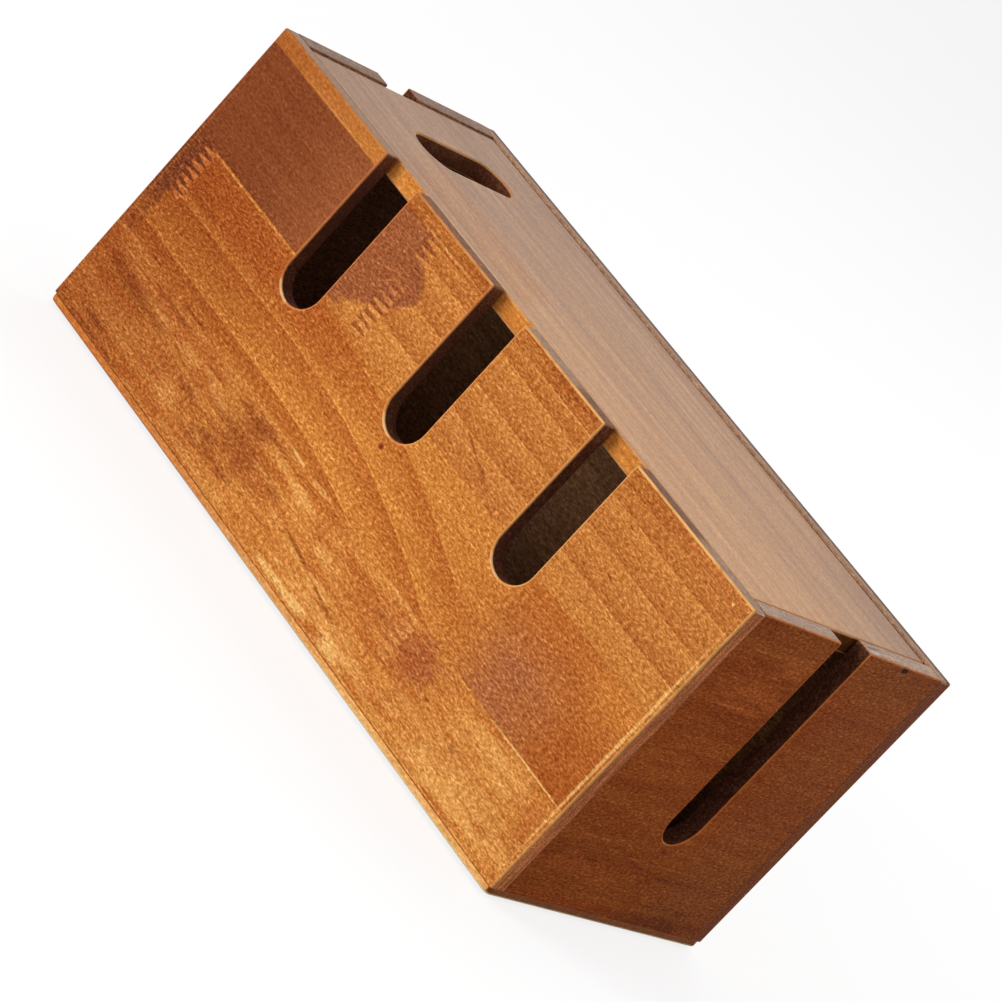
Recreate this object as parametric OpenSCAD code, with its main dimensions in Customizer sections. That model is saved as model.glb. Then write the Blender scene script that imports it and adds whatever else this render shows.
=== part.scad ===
// Wooden cable management box with a drop-in lid.
// Boards are glued and dowelled at the corners. Millimetres, +Z up, front face towards -Y.
// The origin is at the centre of the footprint, on the surface that the pads stand on.

/* [Box] */
// Outside length, along X
box_l = 300; // [280:5:360]
// Outside depth, along Y
box_w = 135; // [125:1:170]
// Height from the underside of the base board to the top of the walls
box_h = 132; // [124:1:160]

/* [Boards] */
// Thickness of the front, back and end boards
wall_t = 7.5; // [6.5:0.5:10]
// Thickness of the base board
base_t = 3; // [2.5:0.5:6]
// Plan radius of the base board's corners
base_corner_r = 3; // [1:0.5:6]
// Bevel that eases every outside edge
arris = 0.8; // [0.4:0.1:1.2]

/* [Front slots] */
// Number of slots in the front board
front_slots = 3; // [1:1:3]
// Width of a front slot
front_slot_w = 20; // [14:1:26]
// Depth of a front slot below the top of the wall
front_slot_depth = 62; // [40:1:80]
// Distance from one front slot to the next
front_slot_pitch = 70; // [40:1:90]

/* [End slots] */
// Width of an end slot
end_slot_w = 20; // [14:1:26]
// Depth of an end slot below the top of the wall
end_slot_depth = 94; // [60:1:100]

/* [Lid] */
// Thickness of the lid
lid_t = 7.5; // [6:0.5:10]
// Gap between the lid's edge and each wall
lid_gap = 1.2; // [0.6:0.1:2]
// How far the lid's top lies below the top of the walls
lid_recess = 0.5; // [0:0.1:2]
// Width of the finger hole, along the box
hole_w = 20; // [18:1:30]
// Length of the finger hole, across the box
hole_l = 55; // [40:1:80]
// Distance from the outside of the left end to the middle of the finger hole
hole_from_end = 46.5; // [35:0.5:80]
// How far the middle of the finger hole lies behind the middle of the box
hole_offset = 4; // [-6:0.5:6]

/* [Corner blocks] */
// Side of a corner block
block_side = 12; // [8:1:18]
// Height of a corner block
block_h = 25; // [12:1:40]
// Bevel on a corner block's free upright edge
block_bevel = 4; // [1:0.5:6]

/* [Dowels] */
// Diameter of a dowel
dowel_d = 4; // [3:0.5:5]
// Length of a dowel
dowel_l = 19; // [14:1:26]
// Depth of a dowel in the front or back board
dowel_in_face = 5; // [3:0.5:5.5]
// Dowels at each corner
dowels_per_corner = 3; // [2:1:4]
// Height of the lowest dowel above the base board, and depth of the highest below the wall top
dowel_margin = 18; // [12:1:26]
// Radial clearance round a dowel
dowel_fit = 0.05; // [0.02:0.01:0.1]
// Space left for glue at the bottom of a dowel hole
glue_space = 0.5; // [0.2:0.1:1]

/* [Base pins] */
// Shank diameter of a base pin
pin_d = 1.4; // [1:0.1:2]
// Length of a base pin, with its head
pin_l = 16; // [12:1:22]
// Diameter of a pin head
pin_head_d = 3; // [2.4:0.1:4]
// Thickness of a pin head
pin_head_t = 0.6; // [0.4:0.1:1]
// Pins along each long wall
pins_long = 4; // [2:1:6]
// Pins along each end wall
pins_short = 2; // [1:1:3]
// Distance from a box corner to the nearest pin of the long walls
pin_margin = 30; // [20:1:45]
// Clearance round a pin
pin_fit = 0.03; // [0.01:0.01:0.05]

/* [Pads] */
// Diameter of an anti-slip pad
pad_d = 12; // [8:1:18]
// Thickness of an anti-slip pad
pad_t = 1.5; // [1:0.5:4]
// Distance from the box's sides to a pad's middle
pad_inset = 16; // [12:1:25]

/* [Hidden] */
$fn = 64;
cut = 0.5;                                   // how far a cutter runs past a face
base_z = pad_t;                              // underside of the base board
wall_z = base_z + base_t;                    // underside of the walls
top_z = base_z + box_h;                      // top of the walls
wall_h = top_z - wall_z;
end_l = box_w - 2 * wall_t;                  // the end boards stand between front and back
lid_z = top_z - lid_recess - lid_t;          // underside of the lid
lid_l = box_l - 2 * (wall_t + lid_gap);
lid_w = box_w - 2 * (wall_t + lid_gap);
hole_x = -box_l / 2 + hole_from_end;
inner_x = box_l / 2 - wall_t;                // inside faces of the end boards
inner_y = box_w / 2 - wall_t;                // inside faces of the front and back boards
dowel_r = dowel_d / 2;
dowel_span = wall_h - 2 * dowel_margin;      // from the lowest dowel to the highest
pin_span_x = box_l - 2 * pin_margin;
pin_line = wall_t / 2;                       // pins stand in the middle of the walls
pin_step_y = end_l / (pins_short + 1);
pad_x = box_l / 2 - pad_inset;
pad_y = box_w / 2 - pad_inset;

wood_front = [0.74, 0.43, 0.18];
wood_end = [0.50, 0.27, 0.14];
wood_back = [0.62, 0.35, 0.15];
wood_lid = [0.72, 0.56, 0.45];
wood_base = [0.78, 0.50, 0.24];
wood_inside = [0.70, 0.50, 0.30];

// A rectangle on the origin with bevelled corners.
module eased_rect(a, b, c) {
    polygon([
        [-a / 2 + c, -b / 2], [a / 2 - c, -b / 2], [a / 2, -b / 2 + c], [a / 2, b / 2 - c],
        [a / 2 - c, b / 2], [-a / 2 + c, b / 2], [-a / 2, b / 2 - c], [-a / 2, -b / 2 + c]
    ]);
}

// A board centred on X and Y, standing on Z = 0, with all twelve edges bevelled.
module eased_board(l, w, h, c = arris) {
    translate([0, 0, h / 2])
        intersection() {
            linear_extrude(height = h, center = true) eased_rect(l, w, c);
            rotate([90, 0, 0]) linear_extrude(height = w, center = true) eased_rect(l, h, c);
            rotate([90, 0, 90]) linear_extrude(height = l, center = true) eased_rect(w, h, c);
        }
}

// A slot open at its top, through a board that lies between y = 0 and y = t.
// Its top is at z = 0, its round bottom at z = -depth, and both mouths are bevelled.
module slot_cut(w, depth, t) {
    round_z = -(depth - w / 2);
    translate([0, -cut, round_z]) rotate([-90, 0, 0]) cylinder(d = w, h = t + 2 * cut);
    translate([-w / 2, -cut, round_z]) cube([w, t + 2 * cut, cut - round_z]);
    slot_flare(w, round_z);
    translate([0, t, 0]) mirror([0, 1, 0]) slot_flare(w, round_z);
}

// The bevel at one mouth of a slot, in the face y = 0.
module slot_flare(w, round_z) {
    wide = w / 2 + arris + cut;
    translate([0, -cut, round_z])
        rotate([-90, 0, 0]) cylinder(r1 = wide, r2 = w / 2, h = arris + cut);
    translate([0, 0, round_z])
        linear_extrude(height = cut - round_z)
            polygon([[-wide, -cut], [wide, -cut], [w / 2, arris], [-w / 2, arris]]);
}

// A long board of the box with holes for the dowels of both corners and the pins.
// Its outside face is at y = -box_w / 2.
module long_board() {
    difference() {
        translate([0, -box_w / 2 + wall_t / 2, wall_z]) eased_board(box_l, wall_t, wall_h);
        for (side = [-1, 1])
            corner_at(side) dowel_row(dowel_r + dowel_fit, glue_space);
        long_pins(pin_d / 2 + pin_fit, pin_fit);
    }
}

module front_panel() {
    color(wood_front)
        difference() {
            long_board();
            for (i = [0 : front_slots - 1])
                translate([(i - (front_slots - 1) / 2) * front_slot_pitch, -box_w / 2, top_z])
                    slot_cut(front_slot_w, front_slot_depth, wall_t);
        }
}

module back_panel() {
    color(wood_back) mirror([0, 1, 0]) long_board();
}

// An end board with its slot, its dowel holes and its pin holes, at the right end.
module end_board() {
    difference() {
        translate([box_l / 2 - wall_t / 2, 0, wall_z]) eased_board(wall_t, end_l, wall_h);
        translate([box_l / 2, 0, top_z])
            rotate([0, 0, 90]) slot_cut(end_slot_w, end_slot_depth, wall_t);
        for (face = [0, 1])
            mirror([0, face, 0]) corner_at(1) dowel_row(dowel_r + dowel_fit, glue_space);
        end_pins(pin_d / 2 + pin_fit, pin_fit);
    }
}

module right_end_panel() {
    color(wood_end) end_board();
}

module left_end_panel() {
    color(wood_end) mirror([1, 0, 0]) end_board();
}

// Places a corner's dowels: side is -1 at the left end and 1 at the right.
module corner_at(side) {
    translate([side * (box_l / 2 - wall_t / 2), -inner_y, wall_z + dowel_margin]) children();
}

// Upright row of dowels, or of their holes when extra is more than 0, across the joint at y = 0.
module dowel_row(r, extra = 0) {
    for (i = [0 : dowels_per_corner - 1])
        translate([0, -dowel_in_face - extra, i * dowel_span / (dowels_per_corner - 1)])
            rotate([-90, 0, 0]) cylinder(r = r, h = dowel_l + 2 * extra);
}

module front_left_dowels() {
    color(wood_inside) corner_at(-1) dowel_row(dowel_r);
}

module front_right_dowels() {
    color(wood_inside) corner_at(1) dowel_row(dowel_r);
}

module back_left_dowels() {
    color(wood_inside) mirror([0, 1, 0]) corner_at(-1) dowel_row(dowel_r);
}

module back_right_dowels() {
    color(wood_inside) mirror([0, 1, 0]) corner_at(1) dowel_row(dowel_r);
}

// One headed pin, or its hole when extra is more than 0, driven up from the base board's underside.
module pin(r, extra = 0) {
    translate([0, 0, base_z]) cylinder(r = r, h = pin_l + extra, $fn = 24);
    translate([0, 0, base_z - extra])
        cylinder(r = pin_head_d / 2 + extra, h = pin_head_t + 2 * extra, $fn = 32);
}

// Pins of the front board.
module long_pins(r, extra = 0) {
    for (i = [0 : pins_long - 1])
        translate([-pin_span_x / 2 + i * pin_span_x / (pins_long - 1), -box_w / 2 + pin_line, 0])
            pin(r, extra);
}

// Pins of the right end board.
module end_pins(r, extra = 0) {
    for (i = [1 : pins_short])
        translate([box_l / 2 - pin_line, -end_l / 2 + i * pin_step_y, 0]) pin(r, extra);
}

// Pins of all four walls.
module all_pins(r, extra = 0) {
    for (face = [0, 1])
        mirror([0, face, 0]) long_pins(r, extra);
    for (side = [0, 1])
        mirror([side, 0, 0]) end_pins(r, extra);
}

module base_pins() {
    color("silver") all_pins(pin_d / 2);
}

module base_board() {
    color(wood_base)
        difference() {
            translate([0, 0, base_z]) linear_extrude(height = base_t) base_outline();
            all_pins(pin_d / 2 + pin_fit, pin_fit);
        }
}

// Plan of the base board, a rectangle with round corners.
module base_outline() {
    square([box_l - 2 * base_corner_r, box_w], center = true);
    square([box_l, box_w - 2 * base_corner_r], center = true);
    for (x = [-1, 1])
        for (y = [-1, 1])
            translate([x * (box_l / 2 - base_corner_r), y * (box_w / 2 - base_corner_r)])
                circle(r = base_corner_r);
}

module lid() {
    color(wood_lid)
        translate([0, 0, lid_z])
            difference() {
                eased_board(lid_l, lid_w, lid_t);
                translate([hole_x, hole_offset, 0]) finger_hole();
            }
}

// Obround hole through the lid, along Y, with both mouths bevelled.
module finger_hole() {
    mid = hole_l - hole_w;
    translate([-hole_w / 2, -mid / 2, -cut]) cube([hole_w, mid, lid_t + 2 * cut]);
    for (side = [-1, 1])
        translate([0, side * mid / 2, -cut]) cylinder(d = hole_w, h = lid_t + 2 * cut);
    hole_flare(mid);
    translate([0, 0, lid_t]) mirror([0, 0, 1]) hole_flare(mid);
}

// The bevel at the hole's mouth in the face z = 0.
module hole_flare(mid) {
    wide = hole_w / 2 + arris + cut;
    for (side = [-1, 1])
        translate([0, side * mid / 2, -cut])
            cylinder(r1 = wide, r2 = hole_w / 2, h = arris + cut);
    rotate([90, 0, 0])
        linear_extrude(height = mid, center = true)
            polygon([[-wide, -cut], [wide, -cut], [hole_w / 2, arris], [-hole_w / 2, arris]]);
}

// A glued block in the inside corner at +X +Y that carries the lid.
module corner_block() {
    color(wood_inside)
        translate([inner_x, inner_y, lid_z - block_h])
            linear_extrude(height = block_h)
                polygon([
                    [0, 0], [-block_side, 0], [-block_side, -block_side + block_bevel],
                    [-block_side + block_bevel, -block_side], [0, -block_side]
                ]);
}

module front_left_corner_block() {
    mirror([1, 0, 0]) mirror([0, 1, 0]) corner_block();
}

module front_right_corner_block() {
    mirror([0, 1, 0]) corner_block();
}

module back_left_corner_block() {
    mirror([1, 0, 0]) corner_block();
}

module back_right_corner_block() {
    corner_block();
}

// A round pad under the base board: x and y are -1 or 1.
module pad(x, y) {
    color([0.12, 0.11, 0.10]) translate([x * pad_x, y * pad_y, 0]) cylinder(d = pad_d, h = pad_t);
}

module front_left_pad() {
    pad(-1, -1);
}

module front_right_pad() {
    pad(1, -1);
}

module back_left_pad() {
    pad(-1, 1);
}

module back_right_pad() {
    pad(1, 1);
}

front_panel();
back_panel();
left_end_panel();
right_end_panel();
base_board();
lid();
front_left_corner_block();
front_right_corner_block();
back_left_corner_block();
back_right_corner_block();
front_left_dowels();
front_right_dowels();
back_left_dowels();
back_right_dowels();
base_pins();
front_left_pad();
front_right_pad();
back_left_pad();
back_right_pad();
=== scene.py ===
from math import pi, radians

import bmesh
import bpy
from mathutils import Matrix, Vector


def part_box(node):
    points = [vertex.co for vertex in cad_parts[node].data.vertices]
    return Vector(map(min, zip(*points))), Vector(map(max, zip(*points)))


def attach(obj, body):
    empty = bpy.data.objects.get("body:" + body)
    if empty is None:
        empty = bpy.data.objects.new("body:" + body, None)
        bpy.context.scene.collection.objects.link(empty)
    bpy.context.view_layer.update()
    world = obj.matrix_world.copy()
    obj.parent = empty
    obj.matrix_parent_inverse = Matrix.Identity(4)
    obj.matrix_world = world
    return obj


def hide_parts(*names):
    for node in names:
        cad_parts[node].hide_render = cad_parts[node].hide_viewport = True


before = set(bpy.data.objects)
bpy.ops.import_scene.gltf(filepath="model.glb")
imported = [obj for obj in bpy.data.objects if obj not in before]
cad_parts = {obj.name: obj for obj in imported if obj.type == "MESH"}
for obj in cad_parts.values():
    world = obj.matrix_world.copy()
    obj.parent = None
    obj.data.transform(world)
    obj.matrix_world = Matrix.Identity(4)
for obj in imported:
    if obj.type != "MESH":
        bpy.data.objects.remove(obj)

scene = bpy.context.scene
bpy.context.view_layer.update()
mm = 0.001


def tint(red, green, blue):  # a screen colour, 0 to 255, as the shaders want it
    channels = [c / 255 for c in (red, green, blue)]
    return tuple(((c + 0.055) / 1.055) ** 2.4 if c > 0.04 else c / 12.92 for c in channels) + (1.0,)


def newObject(name, data):
    made = bpy.data.objects.new(name, data)
    scene.collection.objects.link(made)
    return made


def startMaterial(name):
    material = bpy.data.materials.new(name)
    material.use_nodes = True
    return material, material.node_tree, material.node_tree.nodes["Principled BSDF"]


cameraView = {
    "place": (0.8771, -1.3615, 0.4975),  # metres
    "azimuth": 32.56,  # degrees, to the left of +Y
    "elevation": 14.91,  # looking down
    "roll": 42.83,
    "lens": 171.4,
    "sensor": 36.0,
    "reach": 50.0,  # how far it sees
}


def makeCamera(view):
    data = bpy.data.cameras.new("camera")
    data.lens = view["lens"]
    data.sensor_width = view["sensor"]
    data.clip_end = view["reach"]
    camera = newObject("camera", data)
    turn = Matrix.Rotation(radians(view["azimuth"]), 4, "Z")
    tilt = Matrix.Rotation(radians(90 - view["elevation"]), 4, "X")
    roll = Matrix.Rotation(radians(view["roll"]), 4, "Z")
    camera.matrix_world = Matrix.Translation(view["place"]) @ turn @ tilt @ roll
    scene.camera = camera


makeCamera(cameraView)
scene.view_settings.view_transform = "Standard"

lamps = {
    # name: (place, aim, width, height, watts)
    "mainBox": ((-0.6, -1.3, 0.35), (0.0, 0.0, 0.06), 0.7, 0.6, 13.5),
    "frontBox": ((0.25, -0.95, 0.10), (0.05, 0.0, 0.06), 0.55, 0.45, 1.6),
    "rightBox": ((1.3, 0.35, 0.55), (0.1, 0.0, 0.06), 0.8, 0.6, 1.2),
    "backBox": ((0.55, 1.45, 0.22), (0.0, 0.0, 0.06), 0.8, 0.5, 7.0),
    "topBox": ((-0.2, 0.7, 1.6), (0.0, 0.0, 0.06), 0.8, 0.8, 6.0),
}


def makeLamp(name, place, aim, width, height, watts):
    data = bpy.data.lights.new(name, "AREA")
    data.shape = "RECTANGLE"
    data.size = width
    data.size_y = height
    data.energy = watts
    lamp = newObject(name, data)
    aimAt = (Vector(aim) - Vector(place)).to_track_quat("-Z", "Y").to_matrix().to_4x4()
    lamp.matrix_world = Matrix.Translation(place) @ aimAt


for lampName, lampLook in lamps.items():
    makeLamp(lampName, *lampLook)


def feed(tree, socket, value):
    if isinstance(value, bpy.types.NodeSocket):
        tree.links.new(value, socket)
    else:
        socket.default_value = value


def calc(tree, operation, *values, clamp=False):
    node = tree.nodes.new("ShaderNodeMath")
    node.operation = operation
    node.use_clamp = clamp
    for socket, value in zip(node.inputs, values):
        feed(tree, socket, value)
    return node.outputs[0]


def seenDirectly(tree):  # 1 for the rays that show the backdrop: camera, glossy and transmission
    path = tree.nodes.new("ShaderNodeLightPath")
    seen = calc(tree, "MAXIMUM", path.outputs["Is Camera Ray"], path.outputs["Is Glossy Ray"])
    return calc(tree, "MAXIMUM", seen, path.outputs["Is Transmission Ray"])


roomLook = {"background": 1.0, "ambient": 0.34}


def makeWorld(look):
    world = bpy.data.worlds.new("studio")
    world.use_nodes = True
    tree = world.node_tree
    shade = tree.nodes["Background"]
    step = look["background"] - look["ambient"]
    level = calc(tree, "MULTIPLY_ADD", seenDirectly(tree), step, look["ambient"])
    feed(tree, shade.inputs["Strength"], level)
    shade.inputs["Color"].default_value = (1, 1, 1, 1)
    scene.world = world


makeWorld(roomLook)

floorLook = {
    "halfSize": 8.0,
    "paper": (0.30, 0.30, 0.30, 1.0),
    "glow": 0.80,  # what the camera adds to the paper, so that the open floor is white
}


def makeFloor(look):
    bm = bmesh.new()
    bmesh.ops.create_grid(bm, x_segments=1, y_segments=1, size=look["halfSize"])
    mesh = bpy.data.meshes.new("floor")
    bm.to_mesh(mesh)
    bm.free()
    floor = newObject("floor", mesh)
    material, tree, shader = startMaterial("paperFloor")
    tree.nodes.remove(shader)
    paper = tree.nodes.new("ShaderNodeBsdfDiffuse")
    paper.inputs["Color"].default_value = look["paper"]
    glow = tree.nodes.new("ShaderNodeEmission")
    feed(tree, glow.inputs["Strength"], calc(tree, "MULTIPLY", seenDirectly(tree), look["glow"]))
    both = tree.nodes.new("ShaderNodeAddShader")
    tree.links.new(paper.outputs[0], both.inputs[0])
    tree.links.new(glow.outputs[0], both.inputs[1])
    below = tree.nodes.new("ShaderNodeMixShader")  # seen from below, the floor isn't there
    clear = tree.nodes.new("ShaderNodeBsdfTransparent")
    feed(tree, below.inputs[0], tree.nodes.new("ShaderNodeNewGeometry").outputs["Backfacing"])
    tree.links.new(both.outputs[0], below.inputs[1])
    tree.links.new(clear.outputs[0], below.inputs[2])
    tree.links.new(below.outputs[0], tree.nodes["Material Output"].inputs["Surface"])
    mesh.materials.append(material)


makeFloor(floorLook)
print("studio ready")


def fade(tree, value, start, end, low=0.0, high=1.0):  # from low to high while value goes from start to end
    node = tree.nodes.new("ShaderNodeMapRange")
    node.interpolation_type = "SMOOTHSTEP"
    for socket, given in zip(node.inputs, (value, start, end, low, high)):
        feed(tree, socket, given)
    return node.outputs[0]


def band(tree, value, start, end, soft):  # 1 between start and end
    return calc(tree, "MULTIPLY", fade(tree, value, start - soft, start), fade(tree, value, end + soft, end))


def times(tree, first, *others):
    for other in others:
        first = calc(tree, "MULTIPLY", first, other)
    return first


def noise(tree, vector, scale, detail, roughness=0.5, distortion=0.0):
    place = mapped(tree, vector, scale)
    node = tree.nodes.new("ShaderNodeTexNoise")
    feed(tree, node.inputs["Vector"], place)
    settings = {"Scale": 1.0, "Detail": detail, "Roughness": roughness, "Distortion": distortion}
    for name, given in settings.items():
        node.inputs[name].default_value = given
    return node.outputs[0]


def ripple(tree, *settings):  # noise that goes as far below 0 as above it
    return calc(tree, "SUBTRACT", noise(tree, *settings), 0.5)


def mapped(tree, vector, scale=(1, 1, 1), move=(0, 0, 0), turn=(0, 0, 0), kind="POINT"):
    node = tree.nodes.new("ShaderNodeMapping")
    node.vector_type = kind
    feed(tree, node.inputs["Vector"], vector)
    node.inputs["Scale"].default_value = scale
    node.inputs["Location"].default_value = move
    node.inputs["Rotation"].default_value = turn
    return node.outputs[0]


def split(tree, vector):  # each vector is split only once, or the front wood would grow too large to render
    for link in vector.links:
        if link.to_node.type == "SEPXYZ":
            return link.to_node.outputs
    node = tree.nodes.new("ShaderNodeSeparateXYZ")
    feed(tree, node.inputs[0], vector)
    return node.outputs


def colourMix(tree, mask, first, second, mode="MIX"):
    node = tree.nodes.new("ShaderNodeMix")
    node.data_type = "RGBA"
    node.blend_type = mode
    feed(tree, node.inputs[0], mask)
    feed(tree, node.inputs[6], first)
    feed(tree, node.inputs[7], second)
    return node.outputs[2]


def blend(tree, value, first, second, start=0.35, end=0.65):
    # from one screen colour to another; noise lies mostly from 0.35 to 0.65
    return colourMix(tree, fade(tree, value, start, end), tint(*first), tint(*second))


def lay(tree, colour, shade, *masks):  # a screen colour over another, where all the masks allow it
    return colourMix(tree, times(tree, *masks), colour, tint(*shade))


def attribute(tree, name):
    node = tree.nodes.new("ShaderNodeAttribute")
    node.attribute_name = name
    return node.outputs["Fac"]


def startGroup(name, inputs, outputs):
    tree = bpy.data.node_groups.new(name, "ShaderNodeTree")
    for label, (kind, given) in inputs.items():
        socket = tree.interface.new_socket(name=label, in_out="INPUT", socket_type="NodeSocket" + kind)
        if given is not None:
            socket.default_value = given
    for label, kind in outputs.items():
        tree.interface.new_socket(name=label, in_out="OUTPUT", socket_type="NodeSocket" + kind)
    return tree, tree.nodes.new("NodeGroupInput").outputs, tree.nodes.new("NodeGroupOutput").inputs


def use(tree, group, **values):
    node = tree.nodes.new("ShaderNodeGroup")
    node.node_tree = group
    for name, given in values.items():
        feed(tree, node.inputs[name], given)
    return node.outputs


# effects that several woods share: their vectors are in millimetres, with X along the grain
grainLook = {  # scale, detail, roughness and distortion of each layer
    "streak": ((0.012, 0.26, 0.26), 4.0, 0.6),
    "fine": ((0.10, 0.85, 0.85), 3.0, 0.6),
    "speck": ((0.55, 1.3, 1.3), 2.0, 0.7, 0.4),
    "pore": ((0.30, 2.2, 2.2), 1.0),
    "poreEdge": (0.62, 0.74),
    "redden": -0.35,  # darker wood is redder, lighter wood yellower
    "lighten": 0.7,
}


def makeWoodGrain(look):
    tree, given, made = startGroup(
        "woodGrain",
        {
            "Vector": ("Vector", None),
            "Colour": ("Color", (0.5, 0.5, 0.5, 1.0)),
            "Streak": ("Float", 0.6),
            "Fine": ("Float", 0.6),
            "Speck": ("Float", 0.6),
            "Pore": ("Float", 0.2),
        },
        {"Colour": "Color", "Streak": "Float", "Height": "Float"},
    )
    layers = [noise(tree, given["Vector"], *look[name]) for name in ("streak", "fine", "speck", "pore")]
    streak, fine, speck, pore = layers
    pore = fade(tree, pore, *look["poreEdge"])
    change = 0.0
    for name, value in (("Streak", streak), ("Fine", fine), ("Speck", speck)):
        change = calc(tree, "MULTIPLY_ADD", calc(tree, "SUBTRACT", value, 0.5), given[name], change)
    change = calc(tree, "SUBTRACT", change, calc(tree, "MULTIPLY", pore, given["Pore"]))
    deep = tree.nodes.new("ShaderNodeGamma")
    feed(tree, deep.inputs[0], given["Colour"])
    feed(tree, deep.inputs[1], calc(tree, "MULTIPLY_ADD", change, look["redden"], 1.0))
    bright = calc(tree, "EXPONENT", calc(tree, "MULTIPLY", change, look["lighten"]))
    feed(tree, made["Colour"], colourMix(tree, 1.0, deep.outputs[0], bright, "MULTIPLY"))
    feed(tree, made["Streak"], streak)
    height = calc(tree, "MULTIPLY_ADD", fine, 0.5, calc(tree, "MULTIPLY", speck, 0.5))
    feed(tree, made["Height"], calc(tree, "MULTIPLY_ADD", pore, -0.4, height))
    return tree


def makeRings():
    tree, given, made = startGroup(
        "growthRings",
        {
            "Vector": ("Vector", None),
            "First": ("Float", 0.0),  # height of one ring line where the board is straight
            "Spacing": ("Float", 16.0),
            "SweepStart": ("Float", 95.0),  # from here on the lines sweep down
            "SweepLength": ("Float", 590.0),  # the larger, the slower
            "SweepMost": ("Float", 24.0),
            "Wobble": ("Float", 2.0),
        },
        {"Tone": "Float", "Line": "Float", "Level": "Float"},
    )
    x, _, z = split(tree, given["Vector"])
    along = calc(tree, "MAXIMUM", calc(tree, "SUBTRACT", x, given["SweepStart"]), 0.0)
    sweep = calc(tree, "DIVIDE", calc(tree, "MULTIPLY", along, along), given["SweepLength"])
    sweep = calc(tree, "SMOOTH_MIN", sweep, given["SweepMost"], 6.0)
    sway = ripple(tree, given["Vector"], (0.02, 0.02, 0.05), 4.0)
    sway = calc(tree, "MULTIPLY", sway, calc(tree, "MULTIPLY", given["Wobble"], 2.0))
    level = calc(tree, "ADD", calc(tree, "ADD", z, sweep), sway)
    turns = calc(tree, "DIVIDE", calc(tree, "SUBTRACT", level, given["First"]), given["Spacing"])
    part = calc(tree, "FRACT", turns)
    feed(tree, made["Tone"], calc(tree, "POWER", part, 1.3))  # 0 just above a line, 1 just below the next
    feed(tree, made["Line"], fade(tree, part, 0.0, 0.09, 1.0, 0.0))
    feed(tree, made["Level"], level)
    return tree


def makeFingers():
    tree, given, made = startGroup(
        "fingerJoint",
        {
            "Vector": ("Vector", None),
            "Place": ("Float", 0.0),
            "Reach": ("Float", 7.0),  # length of the fingers
            "Pitch": ("Float", 3.25),
            "Phase": ("Float", 0.0),
        },
        {"Zone": "Float", "Finger": "Float"},
    )
    x, _, z = split(tree, given["Vector"])
    sway = ripple(tree, given["Vector"], (0.06, 0.2, 0.12), 3.0, 0.7)
    half = calc(tree, "MULTIPLY", given["Pitch"], 0.5)
    height = calc(tree, "MULTIPLY_ADD", sway, 2.0, calc(tree, "ADD", z, given["Phase"]))
    zigzag = calc(tree, "DIVIDE", calc(tree, "PINGPONG", height, half), half)
    along = calc(tree, "DIVIDE", calc(tree, "SUBTRACT", x, given["Place"]), given["Reach"])
    along = calc(tree, "MULTIPLY_ADD", sway, 0.5, along)
    taper = calc(tree, "MULTIPLY_ADD", along, 0.5, zigzag)
    feed(tree, made["Finger"], fade(tree, taper, 0.35, 0.65))  # 0 on the left board's fingers, 1 between them
    feed(tree, made["Zone"], fade(tree, calc(tree, "ABSOLUTE", along), 0.42, 0.58, 1.0, 0.0))
    return tree


def makeSpot():
    tree, given, made = startGroup(
        "spot",
        {
            "Vector": ("Vector", None),  # from the middle of the spot, 0.5 long at its edge
            "Soft": ("Float", 0.5),
            "Strength": ("Float", 1.0),
            "Ragged": ("Float", 0.0),
        },
        {"Mask": "Float"},
    )
    ball = tree.nodes.new("ShaderNodeTexGradient")
    ball.gradient_type = "SPHERICAL"
    feed(tree, ball.inputs["Vector"], given["Vector"])
    inside = calc(tree, "SUBTRACT", ball.outputs["Fac"], given["Ragged"])
    full = calc(tree, "MULTIPLY_ADD", given["Soft"], 0.5, 0.5)
    feed(tree, made["Mask"], fade(tree, inside, 0.5, full, 0.0, given["Strength"]))
    return tree


# the arrises are lightened: partly stain rubbed thin, partly painted highlight where the rounded edges catch
# the light
def makeRubbedAndLitEdge():
    tree, given, made = startGroup(
        "rubbedAndLitEdge",
        {"Vector": ("Vector", None), "Arris": ("Float", 0.0), "Amount": ("Float", 1.0)},
        {"Mask": "Float"},
    )
    patchy = fade(tree, noise(tree, given["Vector"], (0.11, 0.11, 0.11), 4.0, 0.6), 0.25, 0.6)
    rubbedAndLit = calc(tree, "MULTIPLY", given["Arris"], calc(tree, "MULTIPLY_ADD", patchy, 0.6, 0.4))
    feed(tree, made["Mask"], calc(tree, "MULTIPLY", rubbedAndLit, given["Amount"], clamp=True))
    return tree


woodGrain = makeWoodGrain(grainLook)
growthRings = makeRings()
fingerJoint = makeFingers()
spot = makeSpot()
rubbedAndLitEdge = makeRubbedAndLitEdge()
print("wood effects ready")


commonLook = {  # what a wood has where its own look says nothing else
    "roughness": 0.45, "roughnessSpread": 0.16, "specular": 0.03, "specularTint": (1.0, 0.72, 0.45, 1.0),
    "streak": 0.6, "fine": 0.6, "speck": 0.6, "pore": 0.12, "bump": 0.3,
    "bumpDepth": 0.15,  # mm
    "inside": (165, 125, 98), "insideMix": 0.9, "slotWall": (0, 0, 0), "slotWallMix": 0.95,
    "endDark": (0, 0, 0), "endLight": (0, 0, 0), "endGrainMix": 0.9, "edge": (0, 0, 0), "edgeMix": 0.85,
    "rim": (0, 0, 0), "rimMix": 0.0, "rimSheen": 0.0, "sheenRoughness": 0.3,
    # how much the arrises are lightened, and to which colour: rubbed stain and painted highlight
    "rubAndHighlight": 0.0, "rubAndHighlightColour": (0, 0, 0),
}


def inMillimetres(tree, move=(0, 0, 0), turn=(0, 0, 0)):
    place = tree.nodes.new("ShaderNodeTexCoord").outputs["Object"]
    return mapped(tree, place, (1 / mm, 1 / mm, 1 / mm), move, turn)


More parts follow.
